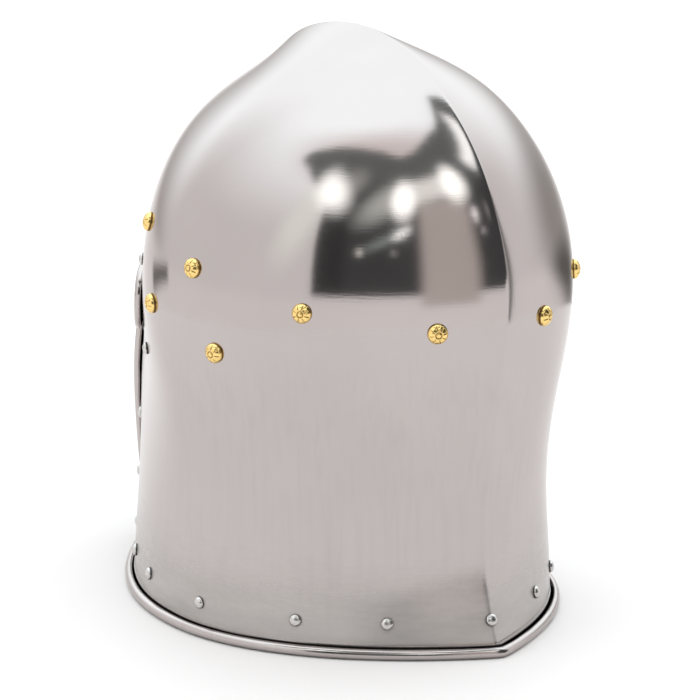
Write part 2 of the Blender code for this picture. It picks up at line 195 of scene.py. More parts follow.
def plate_normals(row, turn):
    """Outward normals of the plate on the wearer's left."""
    row, turn = spread(row, turn)
    step = 1e-4
    up = plate_points(np.minimum(row + step, APEX), turn) - plate_points(np.maximum(row - step, 0), turn)
    backwards = plate_points(row, np.minimum(turn + step, 1)) - plate_points(row, np.maximum(turn - step, -1))
    return normed(np.cross(backwards, up))


def row_at(height, samples=4001):
    rows = np.linspace(0, APEX, samples)
    return np.interp(height, HEIGHT_AT(rows), rows)


def front_turn(x, row):
    """The turn at which the cheek or brow lies this far from the middle."""
    fullness, low, reach = front_curve(row)
    bend = 1 - np.abs(x) / HALF_WIDTH_AT(row)
    forward = np.sqrt(np.maximum((low + bend * reach) ** (2 / fullness) - SHOULDER**2, 0))
    return -np.arcsin(np.minimum(forward * math.sin(SWEEP), 1)) / SWEEP


def mirrored(vector):
    return np.array(vector) * (-1, 1, 1)


print("keel at the rim:", plate_points(0, 1).round(4), "ear:", plate_points(6, 0).round(4))

# %% [markdown]
# The keel isn't a knife edge. The hammer leaves a ridge about a millimetre wide, and on polished steel that
# ridge catches a thin bright line. Near the keel each point sinks a little towards the middle of the head,
# by just what turns the corner into a small curve.

# %% Soften the keel
KEEL_ROUND = 0.0007


def soft_points(row, turn, softness=KEEL_ROUND):
    """Points of the plate with the keel, back and front, rounded off."""
    row, turn = spread(row, turn)
    points = plate_points(row, turn)
    for end in (1, -1):
        here = turn * end > 0
        normals = plate_normals(row, np.full_like(turn, end * 0.9999))
        middle = normals * (0, 1, 1)
        size = np.linalg.norm(middle, axis=-1, keepdims=True)
        slope = normals[..., :1] / size
        x = points[..., :1]
        sink = slope * (np.sqrt(x**2 + softness**2) - x) * here[..., None]
        points = points - middle / size * sink
    return points


keel_sink = float(np.linalg.norm(soft_points(4, 1) - plate_points(4, 1)))
print("the keel sinks by", round(keel_sink * 1000, 2), "mm")

# %% [markdown]
# ## The face opening
#
# The photograph shows the back, so the front is finished as barbutes usually are: a T, with a narrow slit
# between the cheeks and a pair of eye openings under an arched brow. Its edge is drawn as seen from the
# front, with rounded corners, and carried over to rows and turns.

# %% The outline of the opening
SLIT_HALF_WIDTH = 0.0135
SLIT_FLARE = 0.0015
EYE_HALF_WIDTH = 0.0660
CHEEK_TOP = 0.1225
EYE_BOTTOM = 0.1330
EYE_TOP = 0.1540
BROW_ARCH = 0.0045
BROW_DIP = 0.0060
RIM_CORNER = 0.0090
rim_x = SLIT_HALF_WIDTH + SLIT_FLARE
# x, z and the radius of the corner, from the rim up to the middle of the brow
OPENING = (
    (rim_x + 2 * RIM_CORNER, 0, 0),
    (rim_x, 0, RIM_CORNER),
    (SLIT_HALF_WIDTH, CHEEK_TOP, 0.0150),
    (EYE_HALF_WIDTH, EYE_BOTTOM, 0.0085),
    (EYE_HALF_WIDTH, EYE_TOP, 0.0085),
    (EYE_HALF_WIDTH / 2, EYE_TOP + BROW_ARCH, 0.0400),
    (0, EYE_TOP + BROW_ARCH - BROW_DIP, 0),
)


def unit(number):
    return number / abs(number)


def rounded(corners, step):
    """Points x + iz on the path through the corners, with the inner ones rounded, at this step."""
    spots = [complex(x, z) for x, z, _ in corners]
    path = []
    for before, here, after, (_, _, radius) in zip(spots, spots[1:], spots[2:], corners[1:]):
        back, ahead = unit(before - here), unit(after - here)
        half = abs(np.angle(ahead / back)) / 2
        centre = here + unit(back + ahead) * radius / math.sin(half)
        start = here + back * radius / math.tan(half) - centre
        end = here + ahead * radius / math.tan(half) - centre
        sweep = np.angle(end / start)
        steps = max(4, round(radius * abs(sweep) / step))
        path += [centre + start * np.exp(1j * sweep * i / steps) for i in range(steps + 1)]
    path.append(spots[-1])
    finished = path[:1]
    for start, end in zip(path, path[1:]):
        pieces = max(1, round(abs(end - start) / step))
        finished += [start + (end - start) * (i + 1) / pieces for i in range(pieces)]
    return np.array(finished)


opening = rounded(OPENING, 0.0015)
opening_rows = row_at(opening.imag)
opening_turns = front_turn(opening.real, opening_rows)
print("points on half of the opening's edge:", len(opening))

# %% [markdown]
# ## The edge line
#
# The rolled edge runs in one loop: down the slit, round the rim to the keel, and back by the other side. For
# each point of that line three directions are needed: along it, out of the plate, and in over the plate.

# %% Follow the edge
def keel_spaced(count, fine, coarse):
    """Turns from 1 down to -1, close together at both keels."""
    steps = [fine]
    while steps[-1] < coarse:
        steps.append(steps[-1] * 1.35)
    edge = np.cumsum(steps)
    edge = edge[edge < 0.4]
    middle = np.linspace(1 - edge[-1], -1 + edge[-1], count)
    return np.concatenate([[1], 1 - edge[:-1], middle, -1 + edge[-2::-1], [-1]])


rim_turns = keel_spaced(60, 0.002, 0.03)[::-1]
rim_turns = rim_turns[rim_turns > opening_turns[0] + 0.01]
edge_rows = np.concatenate([opening_rows[::-1], 0 * rim_turns])
edge_turns = np.concatenate([opening_turns[::-1], rim_turns])


def edge_axes(softness):
    """Points on the left half of the edge line, the plate's normals and the directions in over the plate."""
    points = soft_points(edge_rows, edge_turns, softness)
    points[[0, -1], 0] = 0
    normals = plate_normals(edge_rows, edge_turns)
    normals[edge_rows == 0, 2] = 0
    near = np.clip(points[:, 0] / (2.2 * softness), 0, 1)
    near[edge_rows > 1] = 1
    near[0] = 0
    normals[:, 0] *= near
    normals = normed(normals)
    whole = np.concatenate([mirrored(points[1:2]), points, mirrored(points[-2:-1])])
    along = normed(whole[2:] - whole[:-2])
    normals = normed(normals - along * np.sum(normals * along, axis=1, keepdims=True))
    return points, normals, normed(np.cross(normals, along))


print("points on half of the edge line:", len(edge_rows))

# %% [markdown]
# ## The plate
#
# The outline of the opening crosses the plate at odd angles. A Boolean would cut it, but leaves long thin
# faces that show in a polished surface. A Delaunay triangulation in the flat world of rows and turns gives
# clean faces up to the edge, and every vertex still lands exactly on the curved plate. The rows lie closer
# together from CLOSE_ROW to the crown, and no vertex of the grid comes nearer to the edge than ROOM.

# %% Mesh the plate
PLATE_TUCK = 0.0036
FLAT_TURN = 0.15
CLOSE_ROW = 8.6
ROOM = 0.0009

edge_points, _, edge_inward = edge_axes(KEEL_ROUND)
at_opening = edge_rows > 0
tucked = edge_points + PLATE_TUCK * edge_inward
cut_rows = row_at(tucked[:, 2])
rim_cut_row = float(row_at(PLATE_TUCK))
front_part = at_opening | (edge_turns < -0.5)
cut_turns = np.where(front_part, front_turn(tucked[:, 0], cut_rows), edge_turns)
cut_rows = np.where(front_part, cut_rows, rim_cut_row)
cut_turns[0], cut_turns[-1] = -1, 1

plate_turns = keel_spaced(84, 0.0016, 0.022)
plate_rows = np.concatenate([
    np.linspace(rim_cut_row, CLOSE_ROW, 118)[1:],
    CLOSE_ROW + (APEX - CLOSE_ROW) * (1 - (1 - np.linspace(0, 1, 34)[1:-1]) ** 1.5),
])


def flat(row, turn):
    return np.stack([np.asarray(turn) * FLAT_TURN, HEIGHT_AT(np.asarray(row, float))], -1)


front_keel = plate_rows[plate_rows > cut_rows[0] + 0.03]
border = np.array([
    *zip(cut_rows, cut_turns),
    *((row, 1) for row in plate_rows[:-1]),
    *((plate_rows[-1], turn) for turn in plate_turns),
    *((row, -1) for row in front_keel[-2::-1]),
])
grid_rows, grid_turns = (axis.ravel() for axis in np.meshgrid(plate_rows[:-1], plate_turns[1:-1]))
border_flat = flat(border[:, 0], border[:, 1])
grid_flat = flat(grid_rows, grid_turns)
gap = np.sqrt(((grid_flat[:, None] - border_flat[None, : len(cut_rows)]) ** 2).sum(2)).min(1)
spots = np.concatenate([border_flat, grid_flat[gap > ROOM]])
loop = list(range(len(border)))
cut = delaunay_2d_cdt([Vector(spot) for spot in spots], [], [loop], 1, 1e-7)
flat_spots = np.array(cut[0])
plate_row = row_at(flat_spots[:, 1], samples=8001)
plate_turn = np.clip(flat_spots[:, 0] / FLAT_TURN, -1, 1)
left = soft_points(plate_row, plate_turn)
print("plate triangles on one side:", len(cut[2]))

# %% [markdown]
# Every piece here is a mesh from points and faces, some with numbers for each vertex that a node tree or a
# metal reads later. These helpers make one, close it up, and carry out its modifiers.

# %% Helpers for meshes
def linked(name, mesh):
    obj = bpy.data.objects.new(name, mesh)
    bpy.context.scene.collection.objects.link(obj)
    return obj


def mark(mesh, label, values):
    """Writes a number or a vector for each vertex of the mesh under this name."""
    values = np.asarray(values, np.float32)
    kind, field = ("FLOAT_VECTOR", "vector") if values.ndim == 2 else ("FLOAT", "value")
    mesh.attributes.new(label, kind, "POINT").data.foreach_set(field, values.ravel())


def new_object(name, points, faces=(), edges=(), **attributes):
    mesh = bpy.data.meshes.new(name)
    mesh.from_pydata([tuple(point) for point in points], edges, [tuple(face) for face in faces])
    for label, values in attributes.items():
        mark(mesh, label, values)
    return linked(name, mesh)


def close_up(mesh, sharp):
    """Drops unused vertices, turns faces outwards, smooths all but sharp edges and counts the open ones."""
    shape = bmesh.new()
    shape.from_mesh(mesh)
    bmesh.ops.delete(shape, geom=[vert for vert in shape.verts if not vert.link_faces], context="VERTS")
    bmesh.ops.recalc_face_normals(shape, faces=shape.faces)
    open_edges = sum(not edge.is_manifold for edge in shape.edges)
    shape.to_mesh(mesh)
    shape.free()
    mesh.shade_smooth()
    mesh.set_sharp_from_angle(angle=math.radians(sharp))
    return open_edges


def baked(obj, name):
    """The object with its modifiers carried out, as a plain mesh object under this name."""
    graph = bpy.context.evaluated_depsgraph_get()
    mesh = bpy.data.meshes.new_from_object(obj.evaluated_get(graph), depsgraph=graph)
    mesh.name = name
    bpy.data.objects.remove(obj)
    return linked(name, mesh)


print("mesh helpers ready")

# %% [markdown]
# The sheet is 1.6 mm thick. Solidify would do, but it throws a spike where the keel meets the crown. So the
# inside is made from the same rule, one thickness in, with the crease under the keel rounded. Walls join the
# two skins along the edge, a small fan closes each at the crown, and the right side is the mirror image,
# which shares the vertices on the keel. The attribute skin tells the steel later which piece it is on.

# %% Give the plate its thickness and its other half
INNER_ROUND = 0.0024
APEX_WALL = 0.0021


def inner_points(row, turn):
    """The inside of the plate, one thickness in, with the crease under the keel rounded too."""
    outer = soft_points(row, turn)
    x = outer[..., :1]
    rounding = np.concatenate([x / np.sqrt(x**2 + INNER_ROUND**2), 1 + 0 * x, 1 + 0 * x], -1)
    return outer - WALL * normed(plate_normals(row, turn) * rounding)


shape = bmesh.new()
flat_verts = [shape.verts.new((x, y, 0)) for x, y in flat_spots]
for face in cut[2]:
    shape.faces.new([flat_verts[index] for index in face])
shape.verts.index_update()
bmesh.ops.join_triangles(
    shape, faces=shape.faces, angle_face_threshold=0.3, angle_shape_threshold=0.7, topology_influence=1.0
)
half = [[vert.index for vert in face.verts] for face in shape.faces]
shape.free()
at_input = {index: place for place, sources in enumerate(cut[3]) for index in sources}
rim_loop = [at_input[index] for index in range(len(cut_rows))]
first_top = len(cut_rows) + len(plate_rows) - 1
top_loop = [at_input[index] for index in range(first_top, first_top + len(plate_turns))]
count = len(left)
inside = inner_points(plate_row, plate_turn)
on_keel = np.abs(plate_turn) > 0.99999
for skin in (left, inside):
    skin[on_keel, 0] = 0
tips = [(0, crown.y, HEIGHT), (0, crown.y, HEIGHT - APEX_WALL)]
inner_half = [[index + count for index in face[::-1]] for face in half]
half += [[a, b, b + count, a + count] for a, b in zip(rim_loop, rim_loop[1:])] + inner_half
half += [[a, b, 4 * count] for a, b in zip(top_loop, top_loop[1:])]
half += [[b + count, a + count, 4 * count + 1] for a, b in zip(top_loop, top_loop[1:])]
twin = np.arange(4 * count + 2)
twin[: 2 * count] += np.where(np.tile(on_keel, 2), 0, 2 * count)
other = [[int(twin[index]) for index in face[::-1]] for face in half]
plate = new_object("skull_plate", [*left, *inside, *mirrored(left), *mirrored(inside), *tips], half + other)
print("open edges:", close_up(plate.data, sharp=40))
mark(plate.data, "skin", [1] * len(plate.data.vertices))
print("plate faces:", len(plate.data.polygons))

# %% [markdown]
# ## Geometry Nodes trees in a few words
#
# The rolled edge follows a path and the rivets repeat, so Geometry Nodes make both. A tree could be clicked
# together by hand. Here one helper adds a node, sets its options first and then its sockets, and others begin
# and end a tree and run it, so that each tree reads as a list of steps.

# %% Helpers for node trees
def put(tree, kind, settings=None, **values):
    """Adds a node. Settings are its own options. Values are for its sockets: a link, a node or a constant."""
    node = tree.nodes.new(kind)
    for name, value in (settings or {}).items():
        setattr(node, name, value)
    for name, value in values.items():
        key = int(name[1:]) if name[0] == "_" else name.replace("_", " ")
        if isinstance(value, bpy.types.Node):
            value = value.outputs[0]
        if isinstance(value, bpy.types.NodeSocket):
            tree.links.new(value, node.inputs[key])
        else:
            node.inputs[key].default_value = value
    return node


def named(tree, label, kind="FLOAT"):
    """The attribute that a mesh carries under this name."""
    return put(tree, "GeometryNodeInputNamedAttribute", {"data_type": kind}, Name=label).outputs["Attribute"]


def geometry_tree(name, part):
    """A Geometry Nodes tree that takes a mesh, this other part and a material, and its input node."""
    tree = bpy.data.node_groups.new(name, "GeometryNodeTree")
    tree.interface.new_socket("Geometry", in_out="OUTPUT", socket_type="NodeSocketGeometry")
    for label, kind in (("Geometry", "Geometry"), (part, "Object"), ("Material", "Material")):
        tree.interface.new_socket(label, in_out="INPUT", socket_type="NodeSocket" + kind)
    return tree, tree.nodes.new("NodeGroupInput")


def end_tree(tree, geometry, material):
    """Realize Instances and Set Material, then the output."""
    real = put(tree, "GeometryNodeRealizeInstances", Geometry=geometry)
    put(tree, "NodeGroupOutput", _0=put(tree, "GeometryNodeSetMaterial", Geometry=real, Material=material))


def run_tree(obj, tree, values, name):
    """Runs the tree on the object with these inputs and returns the result as a plain mesh."""
    modifier = obj.modifiers.new(tree.name, "NODES")
    modifier.node_group = tree
    for item in tree.interface.items_tree:
        if item.in_out == "INPUT" and item.name in values:
            modifier[item.identifier] = values[item.name]
    return baked(obj, name)


print("helpers ready")

# %% [markdown]
# ## Shader maths as Python expressions
#
# A metal needs many small sums, and each is a Math node. Linking them by hand hides the meaning. A small class
# wraps a socket, so that `base + 0.1 * (1 - mask)` adds the nodes, and a painter adds any other node.

# %% A socket that does sums
class Wire:
    def __init__(self, paint, socket):
        self.paint, self.socket = paint, socket

    def sum(self, operation, *terms):
        values = {f"_{place}": term for place, term in enumerate(terms)}
        return self.paint.node("Math", {"operation": operation}, **values)

    def __add__(self, other):
        return self.sum("ADD", self, other)

    def __sub__(self, other):
        return self.sum("SUBTRACT", self, other)

    def __rsub__(self, other):
        return self.sum("SUBTRACT", other, self)

    def __mul__(self, other):
        return self.sum("MULTIPLY", self, other)

    def __truediv__(self, other):
        return self.sum("DIVIDE", self, other)

    __radd__, __rmul__ = __add__, __mul__

    def power(self, exponent):
        return self.sum("POWER", self, exponent)

    def clamped(self):
        return self.sum("MINIMUM", self.sum("MAXIMUM", self, 0.0), 1.0)

    def between(self, low, high):
        """0 under low, 1 over high and smooth from one to the other."""
        settings = {"interpolation_type": "SMOOTHSTEP"}
        return self.paint.node("MapRange", settings, _0=self, _1=low, _2=high)


class Paint:
    def __init__(self, tree):
        self.tree = tree

    def node(self, kind, settings=None, out=0, **values):
        plain = {key: value.socket if isinstance(value, Wire) else value for key, value in values.items()}
        return Wire(self, put(self.tree, "ShaderNode" + kind, settings, **plain).outputs[out])

    def noise(self, where, scale, detail=2.0, roughness=0.5):
        """Noise at this scale. A scale of three numbers makes the pattern longer one way."""
        if isinstance(scale, tuple):
            where, scale = self.node("Mapping", Vector=where, Scale=scale), 1.0
        return self.node("TexNoise", Vector=where, Scale=scale, Detail=detail, Roughness=roughness)

    def attribute(self, label):
        return self.node("Attribute", {"attribute_name": label}, out=2)

    def mix(self, factor, first, second):
        return self.node("Mix", {"data_type": "RGBA"}, out=2, _0=factor, _6=first, _7=second)


def new_material(name, **values):
    """A material, its Principled shader with these values, a painter and the object coordinates."""
    material = bpy.data.materials.new(name)
    material.use_nodes = True
    shader = material.node_tree.nodes["Principled BSDF"]
    for label, value in values.items():
        shader.inputs[label.replace("_", " ")].default_value = value
    paint = Paint(material.node_tree)
    return material, shader, paint, paint.node("TexCoord", out=3)


def new_metal(name):
    return new_material(name, Metallic=1.0, Specular_Tint=(0.86, 0.84, 0.83, 1))


def feed(shader, socket, wire):
    shader.id_data.links.new(wire.socket, shader.inputs[socket])


print("painter ready")

# %% [markdown]
# ## Polished steel
#
# The bowl was ground smooth and then finished with a soft wheel, so its crown mirrors the room. Lower down
# the wheel reached less well: the neck is satin, and the last three centimetres over the rim were only
# brushed along the edge by hand. Close up there are fine brush lines, faint hairlines that cross them, small
# pits and cloudy patches. Colour and roughness carry the zones and the clouds, and one Bump node the rest.
# One even roughness would be simpler, but reads as chrome.

# %% Make the plate's steel
# heights in metres, from the place where each zone begins to fade to its end
BRUSHED_TO = (0.010, 0.050)
SATIN_TO = (0.120, 0.170)
OVER_THE_ROLL = (0.0054, 0.0075)
# painted shade on the plate under the lip, for the dark gap
LIP_GAP_SHADE = (0.0053, 0.0063)
# painted shade on the underside of the roll, where it stands on the table
SHADE_UNDER_ROLL = (0.0004, 0.0024)

steel, shader, paint, where = new_metal("polished_steel")
level = paint.node("SeparateXYZ", out=2, Vector=where)
clouds = paint.noise(where, 16.0, 3.0)
blotches = paint.noise(where, (22.0, 22.0, 90.0), 4.0, 0.62)
streaks = paint.noise(where, (60.0, 60.0, 900.0), 3.0)
fine = paint.noise(where, (260.0, 260.0, 2600.0), 2.0)
drawn_up = paint.noise(where, (380.0, 380.0, 14.0), 3.0)
near_rim = (1 - (level + 0.030 * (blotches - 0.5)).between(*BRUSHED_TO)) * level.between(*OVER_THE_ROLL)
neck = 1 - level.between(*SATIN_TO)
print("zones of the steel: rim, neck, crown")

# %% [markdown]
# A hairline is a noise that is stretched sixty times one way, of which only the highest tips are kept. Two
# of them lie across each other. Inside the rolled edge and on the plate under its lip the steel is painted
# near black, as shade in the gap, and the underside of the roll, where it stands on the table, is painted
# shade.

# %% Scratches, pits, colour, painted shade and relief
hairlines = 0.0
for turned in ((0.5, 0.3, 0.9), (-0.7, 0.6, 0.4)):
    slanted = paint.node("Mapping", Vector=where, Rotation=turned, Scale=(1400.0, 1400.0, 22.0))
    hairlines = paint.noise(slanted, 1.0, 1.0).between(0.70, 0.78) + hairlines
pits = paint.node("TexVoronoi", Vector=where, Scale=120.0)
pit_mask = (1 - (pits * 14.0).clamped()) * paint.noise(where, 31.0, 1.0).between(0.64, 0.68)
skin = paint.attribute("skin")
# painted shade, near black, for the dark gap: the plate under the lip and the faces inside the hook
lip_gap_shade = skin * (1 - level.between(*LIP_GAP_SHADE))
inside = (paint.attribute("inside") + lip_gap_shade).clamped()
# painted shade: the roll darkened towards its bottom, where it stands on the table
roll_underside_shade = 1 - level.between(*SHADE_UNDER_ROLL)
tint = paint.mix(((clouds - 0.35) * 1.6).clamped(), (0.475, 0.432, 0.421, 1), (0.525, 0.480, 0.467, 1))
mottled = paint.mix((0.8 * (drawn_up - 0.46) * neck).clamped(), tint, (0.38, 0.35, 0.34, 1))
worked = paint.mix((near_rim * (0.55 + 1.5 * (blotches - 0.4))).clamped(), mottled, (0.355, 0.340, 0.320, 1))
marked = paint.mix((0.5 * pit_mask + 0.08 * hairlines).clamped(), worked, (0.36, 0.34, 0.33, 1))
# the underside of the roll gets its painted shade here
shaded_below = paint.mix(0.70 * roll_underside_shade, marked, (0.14, 0.135, 0.13, 1))
feed(shader, "Base Color", paint.mix(inside, shaded_below, (0.012, 0.012, 0.012, 1)))
rough = 0.075 + 0.045 * clouds + 0.025 * streaks + 0.05 * neck + 0.08 * near_rim
feed(shader, "Roughness", rough + 0.02 * hairlines)
feed(shader, "Metallic", 1 - 0.70 * near_rim)
relief = 0.45 * streaks + 0.25 * fine + 0.20 * drawn_up * neck - 1.2 * pit_mask - 0.1 * hairlines
feed(shader, "Normal", paint.node("Bump", Strength=0.12, Distance=0.0002, Height=relief))
print("steel nodes:", len(steel.node_tree.nodes))

# %% [markdown]
# The steel rivets have plain heads, duller than the plate and a little dented by the hammer. At the foot
# a dark ring is painted shade, where the head meets the plate. An attribute of the rivet's mesh says where.

# %% Make the steel of the rivets
rivet_steel, shader, paint, where = new_metal("rivet_steel")
patches = paint.noise(where, 420.0, 2.0)
foot = paint.attribute("film_and_foot_shade")
metal = paint.mix(patches, (0.56, 0.54, 0.525, 1), (0.66, 0.645, 0.63, 1))
# painted shade: a near-black ring at the foot of each head, where it meets the plate
feed(shader, "Base Color", paint.mix(foot, metal, (0.04, 0.038, 0.036, 1)))
feed(shader, "Roughness", 0.20 + 0.12 * patches)
feed(shader, "Normal", paint.node("Bump", Strength=0.25, Distance=0.0003, Height=patches))
print("rivet steel nodes:", len(rivet_steel.node_tree.nodes))

# %% [markdown]
# ## Brass
#
# The rosettes are cast brass, polished on the high places. The grooves keep a brown film, and round the foot
# of the head the same brown is painted shade. The mesh knows groove, foot and petal, so its own attribute is
# the mask.

# %% Make the brass
brass, shader, paint, where = new_metal("brass")
film_and_foot_shade = paint.attribute("film_and_foot_shade")
worn = paint.noise(where, 500.0, 2.0)
# brown film in the grooves, and painted shade round the foot of the head
film = (film_and_foot_shade * 0.95 + 0.30 * (worn - 0.5)).clamped()
feed(shader, "Base Color", paint.mix(film, (0.92, 0.66, 0.25, 1), (0.25, 0.14, 0.04, 1)))
feed(shader, "Roughness", 0.13 + 0.08 * worn + 0.25 * film)
print("brass nodes:", len(brass.node_tree.nodes))

# %% [markdown]
# ## The rolled edge
#
# The plate's edge is turned outwards over a wire and hammered down until its lip almost meets the plate.
# Seen in section it is a hook, and the dark gap under its lip shows all the way round. A round tube would be
# quicker, but has no gap. So the hook is drawn once as a closed chain of points. Each point also says how
# far along the lip it is, from 0 at the outer side to 1 at the tip, and how much painted shade it gets: the
# faces inside the hook are painted near black, as the shade in the gap.

# %% Draw the hook
ROLL_OUT = ROLL_RADIUS - 0.0007
HOOK_WALL = 0.0012


def hook_profile():
    """Points x out of the plate and y in over it, their shares of the lip, and the painted shade of those
    inside.
    """
    leg = [(-WALL / 2, height) for height in (0.0062, 0.0057, 0.0048, 0.0040)]
    radius = ROLL_RADIUS - HOOK_WALL / 2
    sweep = np.linspace(192, 490, 34)
    arc = [(ROLL_OUT + radius * math.cos(a), ROLL_RADIUS + radius * math.sin(a)) for a in np.radians(sweep)]
    bend = [max(0, 1 - i / 8) ** 2 for i in range(len(arc))]
    arc = [(x + b * (-WALL / 2 - 0.0001 - arc[0][0]), y) for b, (x, y) in zip(bend, arc)]
    line = np.array(leg + arc)
    step = np.gradient(line, axis=0)
    side = normed(np.stack([-step[:, 1], step[:, 0]], 1))
    places = (0, 1, 4, 10, len(line) - 1)
    half = np.interp(np.arange(len(line)), places, (0.00078, 0.00094, 0.00096, HOOK_WALL / 2, HOOK_WALL / 2))
    lip = np.concatenate([[0] * len(leg), np.clip((sweep - 375) / 115, 0, 1) ** 1.5])
    outer, inner = line - side * half[:, None], line + side * half[:, None]
    tip = line[-1] + normed(step[-1]) * HOOK_WALL * 0.4
    # the faces inside the hook get painted shade, for the dark gap under the lip
    painted_gap_shade = [0, *[1] * (len(line) - 3), 0.6, 0.2]
    inside = np.concatenate([0 * lip, [0], painted_gap_shade[::-1]])
    return np.concatenate([outer, [tip], inner[::-1]]), np.concatenate([lip, [1], lip[::-1]]), inside


def chain(name, points, **attributes):
    """A closed chain of vertices with these attributes."""
    edges = [(i, (i + 1) % len(points)) for i in range(len(points))]
    return new_object(name, points, edges=edges, **attributes)


hook_points, hook_lip, hook_gap_shade = hook_profile()
hook = chain("hook_profile", [(x, -y, 0) for x, y in hook_points], lip=hook_lip, inside=hook_gap_shade)
print("points in the hook:", len(hook_points))

# %% [markdown]
# No smith closes a roll evenly. Round the back the lip stands half a millimetre off on the wearer's left and
# a good millimetre on the right, and beside the keel it gapes on both sides, because the metal had to be
# bent round a corner there. So the path carries a number for the gap along with the plate's normal.

# %% The path and its gap
ROLL_CORNER = 0.0016
path_points, path_normals, _ = edge_axes(ROLL_CORNER)
FACE_GAP = 0.8
UNEVEN = 0.22
# turn, gap in mm on the wearer's left, gap in mm on the right
GAPS = np.array((
    (-1.0, 0.5, 0.4), (-0.7, 0.7, 0.6), (-0.4, 0.65, 1.3), (0.0, 0.60, 1.6),
    (0.2, 0.50, 1.5), (0.45, 0.45, 1.3), (0.6, 0.40, 1.0), (0.8, 0.45, 0.75),
    (0.9, 0.55, 0.8), (0.955, 1.0, 1.2), (0.985, 0.5, 0.7), (1.0, 0.0, 0.0),
))
chance = np.random.default_rng(11)
knots = np.linspace(0, len(path_points) - 1, 40)


def gap_along(column):
    """The gap on one side: the table round the rim, FACE_GAP at the face, and some unevenness."""
    rim = np.interp(edge_turns, GAPS[:, 0], GAPS[:, column])
    uneven = np.interp(np.arange(len(path_points)), knots, chance.uniform(-UNEVEN, UNEVEN, len(knots)))
    uneven = uneven * np.where(at_opening, 1.6, np.minimum(1, 1.2 * rim))
    return np.clip(np.where(at_opening, FACE_GAP, rim) + uneven, 0, 2) / 1000


path = np.concatenate([path_points, mirrored(path_points[-2:0:-1])])
outward = np.concatenate([path_normals, mirrored(path_normals[-2:0:-1])])
path_gap = np.concatenate([gap_along(1), gap_along(2)[-2:0:-1]])
edge_path = chain("edge_path", path, outward=outward, gap=path_gap)
print("widest gap under the lip:", round(float(path_gap.max()) * 1000, 2), "mm")

# %% [markdown]
# The tree turns both chains into curves, hands the path its normals, and sweeps the hook along it. Curve to
# Mesh passes the attributes of both curves on, so one Set Position can then lift each point of the lip by
# its share of the gap there. What would dip under the table at the corners is pressed flat.

# %% Sweep the rolled edge
tree, inputs = geometry_tree("rolled_edge", "Profile")
line = put(tree, "GeometryNodeMeshToCurve", Mesh=inputs.outputs["Geometry"])
away = named(tree, "outward", "FLOAT_VECTOR")
upright = put(tree, "GeometryNodeSetCurveNormal", {"mode": "FREE"}, Curve=line, Normal=away)
section = put(tree, "GeometryNodeObjectInfo", Object=inputs.outputs["Profile"])
drawn = put(tree, "GeometryNodeMeshToCurve", Mesh=section.outputs["Geometry"])
swept = put(tree, "GeometryNodeCurveToMesh", Curve=upright, Profile_Curve=drawn)
share = put(tree, "ShaderNodeMath", {"operation": "MULTIPLY"}, _0=named(tree, "gap"), _1=named(tree, "lip"))
lift = put(tree, "ShaderNodeVectorMath", {"operation": "SCALE"}, Vector=away, Scale=share)
lifted = put(tree, "GeometryNodeSetPosition", Geometry=swept, Offset=lift)
end_tree(tree, lifted, inputs.outputs["Material"])
rolled_edge = run_tree(edge_path, tree, {"Profile": hook, "Material": steel}, "rolled_edge")
bpy.data.objects.remove(hook)
for vertex in rolled_edge.data.vertices:
    vertex.co.z = max(vertex.co.z, 0)
print("open edges:", close_up(rolled_edge.data, sharp=50), "faces:", len(rolled_edge.data.polygons))

# %% [markdown]
# ## Where the rivets stand
#
# The places are those of the CAD model: a share of the height and a turn for the rim row and the rosettes,
# and a place seen from the front for the rivets that follow the opening. Each has a twin on the other side,
# apart from the one on the keel.

# %% List the rivets
RIM_ROW = 0.057
RIM_TURNS = (1, 0.727, 0.459, 0.080, -0.191, -0.370, -0.60, -0.76)
rim_places = [(RIM_ROW, turn) for turn in RIM_TURNS]
EDGE_INSET, SLIT_INSET = 0.0150, 0.0115
face_spots = (
    (SLIT_HALF_WIDTH + 2 * SLIT_INSET, 0.32 * CHEEK_TOP),
    (SLIT_HALF_WIDTH + SLIT_INSET, 0.53 * CHEEK_TOP),
    (EYE_HALF_WIDTH + 1.1 * EDGE_INSET, EYE_BOTTOM - 0.4 * EDGE_INSET),
    (EYE_HALF_WIDTH + 0.9 * EDGE_INSET, EYE_TOP + 1.1 * EDGE_INSET),
    (0.70 * EYE_HALF_WIDTH, EYE_TOP + 1.2 * EDGE_INSET),
    (0.25 * EYE_HALF_WIDTH, EYE_TOP + 1.2 * EDGE_INSET),
)
face_places = [(z / HEIGHT, float(front_turn(x, row_at(z)))) for x, z in face_spots]
rosette_places = [
    (0.557, 0.818), (0.587, 0.462), (0.635, 0.107), (0.674, -0.215), (0.697, -0.600),
    (0.501, 0.181), (0.551, -0.101),
]


def seats(kind, places):
    """The point, normal and CAD node of each rivet of a kind, on both sides."""
    found = []
    for number, (height, turn) in enumerate(places, 1):
        row = row_at(height * HEIGHT)
        point, normal = plate_points(row, turn), plate_normals(row, turn)
        if turn == 1:
            point = soft_points(row, turn) * (0, 1, 1)
            found.append((point, normed(normal * (0, 1, 1)), f"{kind}_{number}_keel"))
            continue
        twin = (mirrored(point), mirrored(normal), f"{kind}_{number}_r")
        found += [(point, normal, f"{kind}_{number}_l"), twin]
    return found


steel_seats = seats("rim_rivet", rim_places) + seats("face_rivet", face_places)
brass_seats = seats("rosette", rosette_places)
print("steel rivets:", len(steel_seats), "rosettes:", len(brass_seats))

# %% [markdown]
# ## Rivets on points
#
# Twenty-seven steel rivets are one shape, placed many times, which is what Instance on Points is for. Each
# point carries its normal, a turn about it and a size, so that no two heads look stamped. The tree is used
# twice, for the steel rivets and for the rosettes.

